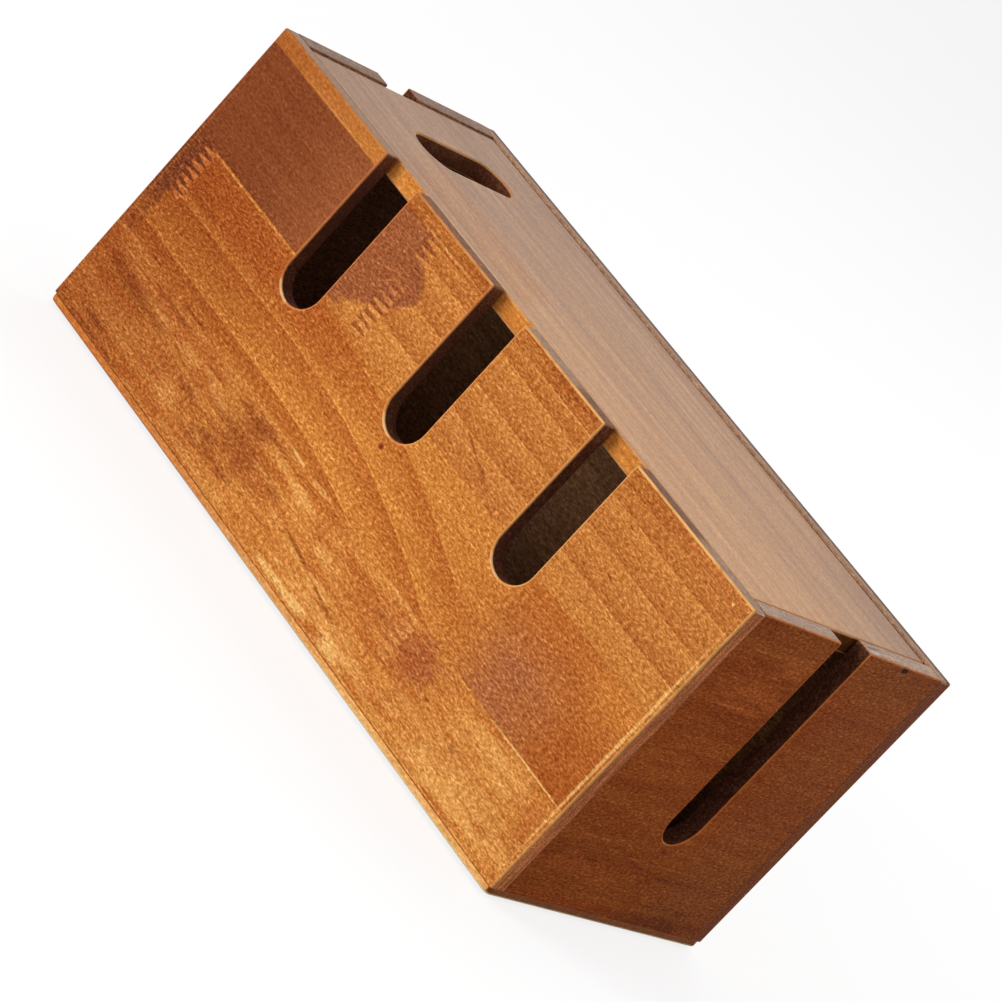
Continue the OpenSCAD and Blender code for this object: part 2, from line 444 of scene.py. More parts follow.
def startWood(name, look, move=(0, 0, 0), turn=(0, 0, 0)):
    material, tree, shader = startMaterial(name)
    shader.inputs["Specular IOR Level"].default_value = look["specular"]
    shader.inputs["Specular Tint"].default_value = look["specularTint"]
    shader.inputs["Coat Roughness"].default_value = look["sheenRoughness"]
    return material, tree, shader, inMillimetres(tree, move, turn)


markLook = {
    "thin": 1,  # mm, half the width up to which a mark is a clean stroke
    "ragged": 1.4,  # how far the other marks' edges wander
    "through": 1000,  # mm, so long that a mark reaches through the board
    "depth": (4.0, 5.0),  # mm into the board, where the marks end
}


def addMarks(tree, colour, grain, marks):
    if not marks:
        return colour
    marked = colour
    ragged = 0.0
    if any(min(mark[1:3]) > markLook["thin"] for mark in marks):
        ragged = noise(tree, grain, (0.07, 0.36, 0.36), 5.0, 0.65)
        ragged = calc(tree, "MULTIPLY_ADD", ragged, markLook["ragged"], -markLook["ragged"] / 2)
    for (x, z), width, height, angle, soft, strength, shade in marks:
        size = (2 * width, markLook["through"], 2 * height)
        place = mapped(tree, grain, size, (x, 0, z), (0, -radians(angle), 0), "TEXTURE")
        rough = ragged if min(width, height) > markLook["thin"] else 0.0
        mask = use(tree, spot, Vector=place, Soft=soft, Strength=strength, Ragged=rough)["Mask"]
        marked = lay(tree, marked, shade, mask)
    near = fade(tree, calc(tree, "ABSOLUTE", split(tree, grain)[1]), *markLook["depth"], 1.0, 0.0)
    return colourMix(tree, near, colour, marked)  # only on this side of the board


def laidFlat(tree, grain, top):  # for marks on an upper face, placed by X and Y
    return mapped(tree, grain, move=(0, top, 0), turn=(pi / 2, 0, 0))


def addBump(tree, shader, height, look):
    bump = tree.nodes.new("ShaderNodeBump")
    bump.inputs["Strength"].default_value = look["bump"]
    bump.inputs["Distance"].default_value = look["bumpDepth"] * mm
    feed(tree, bump.inputs["Height"], height)
    tree.links.new(bump.outputs[0], shader.inputs["Normal"])


def finishWood(tree, shader, grain, colour, look, own=None):
    # own holds the shades and levels that change over the board, in place of the look's plain ones
    shades = {name: tint(*look[name]) for name in ("inside", "rim", "slotWall", "edge", "rubAndHighlightColour")}
    shades.update({name: look[name] for name in ("rubAndHighlight", "rimSheen", "fine", "speck")})
    shades.update(own or {})
    layers = noise(tree, grain, (0.03, 0.8, 0.03), 3.0, 0.7)
    shades["endGrain"] = blend(tree, layers, look["endDark"], look["endLight"])
    for name in ("endGrain", "inside", "rim", "slotWall", "edge"):
        mask = times(tree, attribute(tree, name), look[name + "Mix"])
        colour = colourMix(tree, mask, colour, shades[name])
    wood = use(
        tree, woodGrain, Vector=grain, Colour=colour,
        Streak=look["streak"], Fine=shades["fine"], Speck=shades["speck"], Pore=look["pore"],
    )
    # lighter arrises: rubbed stain and painted highlight
    rubbedAndLit = use(tree, rubbedAndLitEdge, Vector=grain, Arris=attribute(tree, "arris"), Amount=shades["rubAndHighlight"])["Mask"]
    feed(tree, shader.inputs["Base Color"], colourMix(tree, rubbedAndLit, wood["Colour"], shades["rubAndHighlightColour"]))
    spread = look["roughnessSpread"]
    rough = calc(tree, "MULTIPLY_ADD", wood["Streak"], spread, look["roughness"] - spread / 2)
    feed(tree, shader.inputs["Roughness"], rough)
    sheen = times(tree, calc(tree, "MULTIPLY_ADD", wood["Streak"], 0.8, 0.6), shades["rimSheen"])
    coat = calc(tree, "MULTIPLY", attribute(tree, "rim"), sheen, clamp=True)
    feed(tree, shader.inputs["Coat Weight"], coat)
    addBump(tree, shader, wood["Height"], look)


frontWoodLook = {
    **commonLook,
    "specular": 0.05, "streak": 0.45, "fine": 0.5, "speck": 2.9, "bump": 0.35,
    "calmFine": 0.4, "calmSpeck": 1.5,  # in the dark length at the upper left
    # the rim's colour and sheen, then the darker, duller painted shadow on it
    "rim": (155, 113, 80), "rimMix": 0.92, "rimSheen": 0.3, "paintedShadowRim": (120, 68, 38), "paintedShadowSheen": 0.08,
    # the slot walls are darker: partly a darker stain, partly painted shade inside the slots
    "slotWall": (104, 62, 46), "endDark": (150, 74, 34), "endLight": (228, 134, 76),
    "low": ((194, 110, 48), (216, 140, 66)),  # the staves: the two shades of each, then its other parts
    "middle": ((210, 132, 58), (186, 102, 42)), "middleLine": (228, 150, 70), "middleTop": (207, 130, 57),
    "middleRight": (198, 118, 52), "middleCorner": (214, 132, 58), "dull": ((176, 102, 60), (176, 92, 38)),
    "ruddyLeft": (182, 94, 38), "ruddyRight": (186, 102, 44),
    "upper": ((206, 130, 62), (184, 106, 46)), "upperLine": (226, 150, 74), "upperBright": (226, 150, 70),
    "top": ((168, 88, 36), (192, 116, 52)), "topLeft": (208, 132, 60), "topRight": (193, 114, 54),
    "darkLength": ((130, 66, 34), (158, 88, 50)), "darkEnd": (120, 60, 32),
    "leftToneAndPaintedShade": (0.62, 0.48, 0.48, 1),  # what the left end's colours are multiplied with: partly the wood's darker tone, partly painted shade
    "litGlue": (214, 136, 64),
    "topGlue": 125.5, "midGlue": (83.5, 81.3), "lowGlue": (40.2, 38.5),  # heights of the glue lines
    "firstSlot": 80.0, "slotPitch": 70.0,
    "leftRubAndHighlight": 0.25,  # how much of the rubbing and painted highlight the left end has
    # the arrises' colours are rubbed stain and painted highlight; the lit one is a painted highlight low in
    # each slot
    "slotRubAndHighlight": ((214, 130, 76), (244, 170, 98)), "paintedSlotHighlight": (250, 200, 140),
    "topRubAndHighlight": ((204, 130, 68), (250, 190, 116)), "endRubAndHighlight": (246, 182, 106),
    # the dark glue-line edges lighten towards the right, with the same painted shade as the face
    "edgeEnds": ((112, 54, 24), (168, 94, 38)),
}
frontShades = {
    "stain": (152, 76, 34),
    "rust": (184, 98, 42),
    "red": (170, 88, 48),
    "amber": (208, 128, 52),
    "pale": (236, 166, 88),
    "cream": (250, 194, 116),
    "knot": (130, 46, 26),
}
frontMarks = (
    # middle from the left end and from the base, half width, half height, angle, softness, strength, shade
    ((16.5, 35), 12, 0.5, 0, 0.5, 0.5, "pale"),
    ((29, 39.2), 10, 0.9, 0, 0.6, 0.7, "amber"),
    ((25.5, 41), 6, 0.6, 0, 0.5, 0.7, "stain"),
    ((56, 39.7), 11, 0.9, 0, 0.6, 0.8, "stain"),
    ((46, 35.3), 17, 1.3, 0, 0.7, 0.6, "stain"),
    ((77.5, 33.2), 9, 0.7, 0, 0.5, 0.7, "stain"),
    ((26, 28), 34, 3.8, -7, 0.7, 0.5, "stain"),
    ((42, 30), 12, 2.4, 0, 0.7, 0.5, "pale"),
    ((63.5, 29), 9, 3, 0, 0.8, 0.5, "pale"),
    ((86, 29.3), 12.5, 2.7, -8, 0.7, 0.6, "pale"),
    ((32, 17), 24, 5, 0, 0.9, 0.25, "pale"),
    ((22, 9), 12, 3.4, 0, 0.9, 0.7, "stain"),
    ((26, 4.4), 34, 1.2, 0, 0.8, 0.6, "stain"),
    ((37, 5.8), 5.5, 0.5, -17, 0.4, 0.6, "pale"),
    ((74, 22), 11, 4, 0, 0.9, 0.6, "stain"),
    ((67, 15), 13, 6, 0, 0.9, 0.6, "pale"),
    ((92, 13), 20, 6.5, 0, 0.9, 0.6, "stain"),
    ((90.5, 14), 3.8, 2, 0, 0.9, 0.5, "pale"),
    ((98, 5.7), 33, 2.0, -1, 0.5, 0.5, "pale"),
    ((106, 24), 24, 15, -12, 0.95, 0.7, "stain"),
    ((127, 23.5), 10, 4.5, 0, 0.9, 0.5, "stain"),
    ((112, 36), 20, 4.2, 0, 0.9, 0.75, "stain"),
    ((128, 39.3), 7, 0.7, -5, 0.5, 0.7, "cream"),
    ((142, 38.3), 9, 1.5, 0, 0.6, 0.7, "pale"),
    ((126, 32.5), 6, 1.5, 0, 0.6, 0.7, "pale"),
    ((141.5, 31), 11.5, 3.4, 0, 0.7, 0.8, "pale"),
    ((163.5, 25), 9.5, 3.2, -5, 0.7, 0.7, "pale"),
    ((137, 19.5), 5.5, 1.5, 0, 0.7, 0.6, "pale"),
    ((170, 16), 11, 4, 0, 0.8, 0.8, "pale"),
    ((158, 16.2), 14, 1.2, -9, 0.6, 0.6, "pale"),
    ((154, 18.8), 12, 0.8, -9, 0.4, 0.8, "stain"),
    ((177, 14.4), 14, 0.8, -10.5, 0.4, 0.8, "stain"),
    ((175, 10.5), 30, 5, 0, 0.9, 0.6, "pale"),
    ((159.5, 5.7), 24, 2.2, 0, 0.6, 0.8, "cream"),
    ((191, 7), 12, 4.5, 0, 0.8, 0.85, "cream"),
    ((186, 26), 20, 8, 0, 0.9, 0.7, "rust"),
    ((217, 30), 28, 13, 0, 0.95, 0.8, "red"),
    ((222, 14), 5, 6, 0, 0.9, 0.4, "red"),
    # the large pale patches low on the right, at (175, 10.5), (262, 16), (260, 9) and (200, 9), are partly
    # the wood's lighter tone, partly painted light
    ((262, 16), 52, 10, 0, 0.9, 0.65, "pale"),
    ((268, 31), 26, 7.5, 0, 0.8, 0.75, "pale"),
    ((294, 27), 7, 11, 0, 0.9, 0.6, "rust"),
    ((260, 9), 44, 5.5, 2, 0.7, 0.85, "pale"),
    ((200, 9), 24, 6, 0, 0.9, 0.7, "pale"),
    ((253, 21), 2.4, 1.6, 0, 0.7, 0.5, "stain"),
    ((233, 24.5), 1.7, 1.3, 0, 0.5, 0.8, "stain"),
    ((225, 3.7), 76, 0.5, 0, 0.5, 0.5, "pale"),
    ((278, 38.4), 26, 0.5, 0, 0.4, 0.8, "cream"),
    ((196, 38.7), 11, 0.5, 0, 0.4, 0.6, "pale"),
    ((61.5, 68.8), 7.5, 0.6, -13, 0.4, 0.7, "stain"),
    ((119, 68), 1.6, 0.7, 0, 0.5, 0.7, "stain"),
    ((150.5, 65.5), 1.5, 1.3, 0, 0.6, 0.85, "knot"),
    ((188.5, 87.6), 5.5, 1.8, -18, 0.6, 0.85, "stain"),
    ((178, 91.3), 8.5, 0.8, -20, 0.6, 0.7, "stain"),
    ((252, 100.5), 2.4, 0.5, -15, 0.5, 0.8, "knot"),
    ((245, 117), 1.3, 0.5, -20, 0.5, 0.7, "knot"),
    ((292.5, 127.5), 0.9, 0.8, 0, 0.5, 0.8, "cream"),
    ((42, 126.3), 30, 0.5, 0, 0.5, 0.6, "pale"),
    ((118, 126.8), 24, 0.8, 0, 0.6, 0.6, "pale"),
    ((198, 125.3), 34, 0.5, 0, 0.5, 0.5, "pale"),
    ((119.8, 102.8), 8.5, 0.6, 32.9, 0.5, 0.6, "pale"),
    # a lighter line along the right upright arris: rubbed stain and painted highlight
    ((297.6, 66), 0.9, 66, 0, 0.6, 0.7, "cream"),
)
strokesOnDark = (
    ((101.6, 106.1), 9.5, 0.5, 21.7, 0.5, 0.6, (206, 124, 68)),
    ((105.4, 103.1), 4.8, 0.4, 43.6, 0.5, 0.5, (206, 124, 68)),
    ((2.0, 66), 0.8, 60, 0, 0.6, 0.5, (168, 92, 40)),
)
frontJoints = (
    # place from the left end, length of the fingers, phase, lowest, highest, strength, dark and light shade
    (11.6, 6.6, 1.6, 61.0, 83.5, 0.85, (104, 50, 28), (190, 106, 52)),
    (110.7, 7.6, -0.3, 83.5, 97.5, 0.7, (138, 68, 32), (226, 148, 78)),
    (110.7, 7.6, -0.3, 97.5, 106.5, 0.55, (140, 74, 42), (206, 124, 68)),
    (110.7, 7.6, 1.2, 117.0, 125.5, 0.7, (134, 66, 34), (214, 134, 66)),
    (207.0, 6.5, 0.0, 19.0, 38.0, 0.45, (186, 102, 48), (234, 164, 88)),
)


glueSoft = 0.3  # mm, over which the wood changes on either side of a glue line


def glued(tree, z, height):  # 0 below a glue line, 1 above it
    return fade(tree, calc(tree, "SUBTRACT", z, height), -glueSoft, glueSoft)


def lowStave(tree, grain, look):  # drawn out along the grain
    patches = noise(tree, grain, (0.03, 0.05, 0.22), 5.0, 0.6, 0.5)
    return blend(tree, patches, *look["low"], 0.36, 0.64)


def middleStave(tree, grain, look):  # sweeping rings that end in a dull patch
    x, _, z = split(tree, grain)
    cloud = noise(tree, grain, (0.02, 0.03, 0.05), 3.0, 0.55)
    rings = use(tree, growthRings, Vector=grain, First=46.9, Spacing=15.9, Wobble=1.0)
    clear = fade(tree, x, 236, 200)
    colour = colourMix(tree, rings["Tone"], *(tint(*shade) for shade in look["middle"]))
    colour = lay(tree, colour, look["middleLine"], rings["Line"], 0.6)
    colour = lay(tree, colour, look["middleTop"], fade(tree, rings["Level"], 78.6, 79.0))
    colour = colourMix(tree, clear, tint(*look["middleRight"]), colour)
    colour = lay(tree, colour, look["ruddyLeft"], fade(tree, z, 62, 68), fade(tree, x, 150, 90), 0.75)
    right = band(tree, z, 66, 81, 6), band(tree, x, 238, 270, 12)
    colour = lay(tree, colour, look["ruddyRight"], *right, 0.7)
    dull = times(tree, fade(tree, x, 222, 252), fade(tree, z, 76, 54), fade(tree, cloud, 0.3, 0.6, 0.6, 1.0))
    colour = colourMix(tree, dull, colour, blend(tree, x, *look["dull"], 258, 284))
    return lay(tree, colour, look["middleCorner"], fade(tree, x, 262, 290), fade(tree, z, 66, 76), 0.5)


def upperStave(tree, grain, look):  # its rings are lightest just under each line
    x, _, z = split(tree, grain)
    upside = mapped(tree, grain, (1, 1, -1))
    rings = use(tree, growthRings, Vector=upside, First=-119.0, Spacing=12.8, SweepStart=400.0, Wobble=1.6)
    colour = colourMix(tree, rings["Tone"], *(tint(*shade) for shade in look["upper"]))
    colour = lay(tree, colour, look["upperLine"], rings["Line"], 0.5)
    right = times(tree, band(tree, z, 80, 87.2, 0.8), fade(tree, x, 226, 236))
    left = times(tree, band(tree, z, 80, 92.5, 1.5), fade(tree, x, 150, 130))
    return lay(tree, colour, look["upperBright"], calc(tree, "MAXIMUM", right, left), 0.3)


def darkLengths(tree, grain, colour, look):  # the left parts of the upper and middle staves
    x, _, z = split(tree, grain)
    ragged = ripple(tree, grain, (0.12, 0.3, 0.3), 5.0, 0.7)
    end = calc(tree, "ADD", fade(tree, z, 82, 106, 95.0, 121.0), fade(tree, z, 108, 124, 0.0, -12.0))
    away = calc(tree, "MULTIPLY_ADD", ragged, 10.0, calc(tree, "SUBTRACT", x, end))
    dark = blend(tree, x, *look["darkLength"], 25, 95)
    upper = times(tree, band(tree, z, look["midGlue"][0], look["topGlue"], glueSoft), fade(tree, away, 2, -2))
    colour = colourMix(tree, upper, colour, dark)
    middle = band(tree, z, look["lowGlue"][0], look["midGlue"][0], glueSoft)
    middle = times(tree, middle, fade(tree, calc(tree, "MULTIPLY_ADD", ragged, 5.0, x), 9.5, 7.5))
    return lay(tree, colour, look["darkEnd"], middle, fade(tree, z, 46, 64, 0.35, 1.0))


def addJoints(tree, colour, grain, joints):
    z = split(tree, grain)[2]
    for place, reach, phase, low, high, strength, dark, light in joints:
        joint = use(tree, fingerJoint, Vector=grain, Place=place, Reach=reach, Phase=phase)
        mask = times(tree, joint["Zone"], band(tree, z, low, high, 0.4), strength)
        fingers = colourMix(tree, joint["Finger"], tint(*dark), tint(*light))
        colour = colourMix(tree, mask, colour, fingers)
    return colour


def frontStaves(tree, grain, look):
    x, _, z = split(tree, grain)
    top = blend(tree, noise(tree, grain, (0.02, 0.03, 0.25), 4.0, 0.6), *look["top"])
    top = lay(tree, top, look["topLeft"], fade(tree, x, 100, 64))
    top = lay(tree, top, look["topRight"], fade(tree, x, 240, 280))
    lowGlue = fade(tree, x, 100, 200, *look["lowGlue"])
    midGlue = fade(tree, x, 90, 94, *look["midGlue"])
    low, middle, upper = (stave(tree, grain, look) for stave in (lowStave, middleStave, upperStave))
    colour = colourMix(tree, glued(tree, z, lowGlue), low, middle)
    colour = colourMix(tree, glued(tree, z, midGlue), colour, upper)
    colour = colourMix(tree, glued(tree, z, look["topGlue"]), colour, top)
    marks = [(*mark[:-1], frontShades[mark[-1]]) for mark in frontMarks]
    colour = addMarks(tree, colour, grain, marks)
    # partly the wood's tone, partly painted shade: the face darkens towards the left end
    shade = colourMix(tree, fade(tree, x, -20, 150), look["leftToneAndPaintedShade"], (1, 1, 1, 1))
    colour = colourMix(tree, 1.0, colour, shade, "MULTIPLY")
    colour = darkLengths(tree, grain, colour, look)
    colour = addJoints(tree, colour, grain, frontJoints)
    colour = addMarks(tree, colour, grain, strokesOnDark)
    # the glue line under the dark length catches the light
    under = band(tree, z, look["midGlue"][0] - 1.0, look["midGlue"][0] - glueSoft, glueSoft)
    return lay(tree, colour, look["litGlue"], under, band(tree, x, 16, 76, 6), 0.7)


def frontRubAndHighlight(tree, grain, look):  # what the arrises are lightened to: rubbed stain and painted highlight, brighter to the right
    x, _, z = split(tree, grain)
    slots = blend(tree, x, *look["slotRubAndHighlight"], 60, 240)
    middle = look["slotPitch"] / 2
    along = calc(tree, "SUBTRACT", x, look["firstSlot"] - middle)
    along = calc(tree, "MODULO", along, look["slotPitch"])
    # a painted highlight on the lower left of each slot's rounded bottom
    lit = times(tree, band(tree, along, middle - 8, middle - 1, 2), band(tree, z, 68, 73, 1.5))
    slots = lay(tree, slots, look["paintedSlotHighlight"], lit)
    top = blend(tree, x, *look["topRubAndHighlight"], 60, 250)
    colour = colourMix(tree, fade(tree, z, 129.5, 131), slots, top)
    return lay(tree, colour, look["endRubAndHighlight"], fade(tree, x, 292, 296))


boxCorner = Vector((*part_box("front_panel")[0].xy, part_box("base_board")[0].z))  # front left, underneath


def makeFrontWood(look):
    move = (-boxCorner.x / mm, -boxCorner.y / mm, -boxCorner.z / mm)
    material, tree, shader, grain = startWood("frontWood", look, move=move)
    x, _, z = split(tree, grain)
    # painted shadow: over two stretches the front rim is darker and less glossy, where the gap by the lid
    # shades it
    dull = calc(tree, "MAXIMUM", band(tree, x, 92, 144, 10), band(tree, x, 195, 262, 8))
    upper = fade(tree, z, 80, 90)
    calm = times(tree, upper, fade(tree, x, 120, 60))
    own = {
        "fine": fade(tree, upper, 0, 1, look["fine"], look["calmFine"]),
        "speck": fade(tree, calm, 0, 1, look["speck"], look["calmSpeck"]),
        "rim": colourMix(tree, dull, tint(*look["rim"]), tint(*look["paintedShadowRim"])),
        "rimSheen": fade(tree, dull, 0.0, 1.0, look["rimSheen"], look["paintedShadowSheen"]),
        "rubAndHighlight": fade(tree, x, 30, 66, look["leftRubAndHighlight"], 1.0),
        "rubAndHighlightColour": frontRubAndHighlight(tree, grain, look),
        "edge": blend(tree, x, *look["edgeEnds"], 0, 200),
    }
    finishWood(tree, shader, grain, frontStaves(tree, grain, look), look, own)
    return material


endWoodLook = {
    **commonLook,
    "roughness": 0.5, "specular": 0.015, "streak": 0.5, "fine": 0.8, "speck": 2.5,
    "rubAndHighlight": 0.95, "rubAndHighlightColour": (232, 138, 72), "rim": (167, 121, 83), "rimMix": 0.95, "rimSheen": 0.62,
    # the slot walls are darker: partly a darker stain, partly painted shade inside the slot
    "slotWall": (85, 50, 36), "edge": (96, 48, 24),
    "endDark": (134, 64, 36), "endLight": (190, 104, 60),
    # darker than the front's wood: partly its own stain, partly painted shade of the side turned from the
    # light
    "dark": (154, 70, 22), "light": (178, 92, 36), "dull": (160, 88, 46),
}
leftEndLook = {**endWoodLook, "rim": (135, 98, 72), "rimSheen": 0.35}
rightEndMarks = (  # as the front's, with X from the front of the box
    ((69, 34.6), 3.8, 1.7, -20, 0.9, 0.65, (84, 36, 18)),
    ((68, 29), 5.0, 0.8, 0, 0.6, 0.6, (96, 46, 24)),
    ((90, 24), 30, 0.8, 1, 0.6, 0.45, (100, 46, 22)),
    ((30, 96), 16, 0.6, 2, 0.5, 0.5, (206, 116, 56)),
    ((34, 108), 14, 0.5, -1, 0.5, 0.4, (206, 116, 56)),
    ((26, 119), 17, 0.7, 1, 0.5, 0.4, (200, 110, 56)),
    ((66, 28.6), 60, 0.5, 0, 0.5, 0.35, (196, 112, 56)),
    ((44, 6), 50, 3.0, 0, 0.9, 0.4, (176, 78, 34)),
    # painted shade at the lower back corner
    ((102, 5), 34, 9, 0, 0.9, 0.55, (104, 46, 20)),
    ((45, 117), 16, 7, 0, 0.9, 0.4, (206, 116, 56)),
    ((40, 103), 38, 13, 0, 0.95, 0.6, (196, 102, 44)),
    ((34, 20), 46, 7, 0, 0.95, 0.5, (194, 102, 44)),
    ((102.8, 131.6), 2.4, 2.0, 0, 0.4, 0.95, (40, 18, 12)),
)
rightRimMarks = (  # on the upper edge, placed by X from the front of the box and by the depth into the board
    ((84, 4.5), 7, 0.8, 5, 0.5, 0.9, (52, 28, 20)),
    ((83, 2.2), 5, 1.0, 0, 0.6, 0.8, (215, 185, 165)),
    ((84, 7.0), 5, 0.9, 0, 0.6, 0.8, (60, 34, 24)),
)


def makeEndWood(name, look, side, marks, rimMarks):
    # the grain runs along Y, and marks are placed from the front of the box and from the base
    low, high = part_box("right_end_panel" if side > 0 else "left_end_panel")
    outside = high.x if side > 0 else -low.x
    move = (-boxCorner.y / mm, outside / mm, -boxCorner.z / mm)
    material, tree, shader, grain = startWood(name, look, move=move, turn=(0, 0, -side * pi / 2))
    x, _, z = split(tree, grain)
    bands = noise(tree, grain, (0.006, 0.03, 0.07), 3.0, 0.6)
    colour = blend(tree, bands, look["dark"], look["light"])
    colour = lay(tree, colour, look["dull"], fade(tree, x, 75, 100), 0.5)
    # painted shade: the end board darkens towards the bottom and towards the top
    shade = times(tree, fade(tree, z, 20, 60, 0.85, 1.0), fade(tree, z, 112, 126, 1.0, 0.82))
    colour = colourMix(tree, 1.0, colour, shade, "MULTIPLY")
    colour = addMarks(tree, colour, grain, marks)
    top = (high.z - boxCorner.z) / mm
    own = {"rim": addMarks(tree, tint(*look["rim"]), laidFlat(tree, grain, top), rimMarks)}
    finishWood(tree, shader, grain, colour, look, own)
    return material


lidWoodLook = {
    **commonLook,
    "roughness": 0.42, "streak": 0.9, "fine": 0.7, "speck": 1.7, "pore": 0.05, "bump": 0.2,
    "rubAndHighlight": 0.7, "rubAndHighlightColour": (226, 166, 118), "rimSheen": 0.6,
    # the finger hole's wall is darker: partly a darker stain, partly painted shade inside the hole
    "slotWall": (104, 60, 42), "edge": (214, 134, 60), "endDark": (70, 36, 18), "endLight": (110, 58, 30),
    # the lid's colour at its back left and at its front right; the change between them is painted light
    "backLeft": (155, 98, 40), "frontRight": (207, 138, 62), "patch": (188, 112, 34),
    "patchSheen": 0.85,  # how much of the sheen the patch has
}
lidMarks = (  # on its upper face, placed by X and Y from the front left corner of the box
    ((46.5, 71.5), 13, 31, 0, 0.25, 0.35, (216, 150, 80)),
    ((125, 12), 34, 0.7, 0, 0.5, 0.6, (120, 66, 28)),
    ((122, 9.6), 26, 0.9, 0, 0.6, 0.6, (246, 190, 120)),
    ((210, 85), 70, 0.7, 1, 0.5, 0.25, (120, 66, 28)),
    ((200, 56), 80, 0.8, 2, 0.5, 0.25, (120, 66, 28)),
    ((215, 30), 60, 0.7, -1, 0.5, 0.25, (120, 66, 28)),
    ((190, 20), 70, 0.7, 0, 0.5, 0.3, (120, 66, 28)),
    ((170, 104), 90, 0.9, 1, 0.5, 0.25, (120, 66, 28)),
    ((150, 112), 60, 0.6, 0, 0.5, 0.3, (240, 184, 116)),
)


def makeLidWood(look):
    move = (-boxCorner.x / mm, -boxCorner.y / mm, 0)
    material, tree, shader, grain = startWood("lidWood", look, move=move)
    x, y, _ = split(tree, grain)
    # painted light: the lid is lighter towards the front and the right and darker at the back right corner,
    # with the wood's bands over it
    light = times(tree, fade(tree, y, 110, 20, 0.0, 0.4), fade(tree, x, 10, 150, 0.2, 1.0))
    light = calc(tree, "MULTIPLY_ADD", fade(tree, x, 20, 240), 0.6, light)
    away = times(tree, fade(tree, x, 200, 290), fade(tree, y, 70, 120))
    light = calc(tree, "MULTIPLY_ADD", away, -0.5, light)
    bands = noise(tree, grain, (0.008, 0.06, 0.05), 3.0, 0.6)
    light = calc(tree, "ADD", light, fade(tree, bands, 0.2, 0.8, -0.2, 0.2), clamp=True)
    colour = colourMix(tree, light, tint(*look["backLeft"]), tint(*look["frontRight"]))
    slope = calc(tree, "MULTIPLY_ADD", y, 0.5, x)
    patch = times(tree, fade(tree, x, 40, 80), fade(tree, slope, 158, 148), band(tree, y, 17, 44, 5.0))
    colour = lay(tree, colour, look["patch"], patch, 0.4)
    colour = addMarks(tree, colour, laidFlat(tree, grain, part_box("lid")[1].z / mm), lidMarks)
    sheen = look["rimSheen"]
    own = {"rimSheen": fade(tree, patch, 0.0, 1.0, sheen, sheen * look["patchSheen"])}
    finishWood(tree, shader, grain, colour, look, own)
    return material


backWoodLook = {
    **commonLook,
    "fine": 0.7, "speck": 2.4, "rubAndHighlight": 0.5, "rubAndHighlightColour": (210, 136, 76),
    "rim": (112, 76, 54), "rimMix": 0.95, "rimSheen": 0.03, "rimInner": (166, 124, 92), "innerSheen": 0.3,
    # the inner face darkens towards the right end: painted shade inside the closed box
    "inside": (160, 114, 80), "paintedShadeInsideRight": (84, 54, 36), "edge": (98, 48, 24),
    "endDark": (112, 52, 22), "endLight": (138, 68, 30),
    "staves": (  # lowest, middle and upper: dark and light
        ((166, 92, 42), (190, 112, 52)), ((180, 106, 50), (206, 128, 60)), ((158, 86, 40), (182, 104, 48)),
    ),
    "glue": (41.0, 85.5),  # heights of the glue lines over the base
}
backJoints = (  # as the front's
    (92, 7.0, 0.4, 41.0, 85.5, 0.6, (132, 66, 32), (210, 132, 68)),
    (214, 7.0, 1.1, 0.0, 41.0, 0.6, (132, 66, 32), (206, 126, 62)),
    (150, 7.0, 0.0, 85.5, 132.0, 0.6, (118, 58, 30), (196, 116, 58)),
)
baseWoodLook = {
    **commonLook,
    "speck": 1.8, "rubAndHighlight": 1.0, "endDark": (112, 50, 22), "endLight": (140, 64, 32),
    "ends": ((200, 116, 54), (246, 182, 108)),  # at the left end and at the right end; lighter to the right, partly the wood's tone, partly painted light
    # the lower arris is rubbed stain, and bright at the right end with painted highlight; the seam's dark
    # edge lightens to the right with the painted light
    "rubAndHighlightEnds": ((198, 114, 60), (255, 226, 165)), "edgeEnds": ((112, 52, 22), (165, 92, 35)),
}
insideWoodLook = {
    **commonLook,
    "roughness": 0.6, "specular": 0.15, "rubAndHighlight": 0.6, "rubAndHighlightColour": (160, 106, 66),
    "endDark": (70, 44, 28), "endLight": (96, 60, 38),
    "dark": (126, 82, 50), "light": (150, 100, 60),
}
dowelWoodLook = {
    **commonLook,
    "roughness": 0.6, "specular": 0.3, "streak": 0.4, "fine": 0.4, "speck": 0.4, "pore": 0.15,
    "dark": (198, 164, 118), "light": (216, 184, 138),
}


def makeBackWood(look):
    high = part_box("back_panel")[1]
    move = (high.x / mm, high.y / mm, -boxCorner.z / mm)  # seen from behind, from the left
    material, tree, shader, grain = startWood("backWood", look, move=move, turn=(0, 0, pi))
    x, y, z = split(tree, grain)
    inner = fade(tree, y, 2.5, 4.0)
    own = {
        # painted shade: the inner face is darker towards the box's right end
        "inside": blend(tree, x, look["paintedShadeInsideRight"], look["inside"], 50, 110),
        "rim": colourMix(tree, inner, tint(*look["rim"]), tint(*look["rimInner"])),
        "rimSheen": fade(tree, inner, 0, 1, look["rimSheen"], look["innerSheen"]),
    }
    bands = noise(tree, grain, (0.01, 0.03, 0.12), 4.0, 0.6)
    colour, *higher = [blend(tree, bands, *shades) for shades in look["staves"]]
    for height, stave in zip(look["glue"], higher):
        colour = colourMix(tree, glued(tree, z, height), colour, stave)
    finishWood(tree, shader, grain, addJoints(tree, colour, grain, backJoints), look, own)
    return material


def makeBaseWood(look):
    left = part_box("base_board")[0].x
    material, tree, shader, grain = startWood("baseWood", look, move=(-left / mm, 0, 0))
    x = split(tree, grain)[0]
    own = {
        "rubAndHighlightColour": blend(tree, x, *look["rubAndHighlightEnds"], 30, 270),
        "edge": blend(tree, x, *look["edgeEnds"], 0, 200),
    }
    finishWood(tree, shader, grain, blend(tree, x, *look["ends"], 10, 270), look, own)
    return material


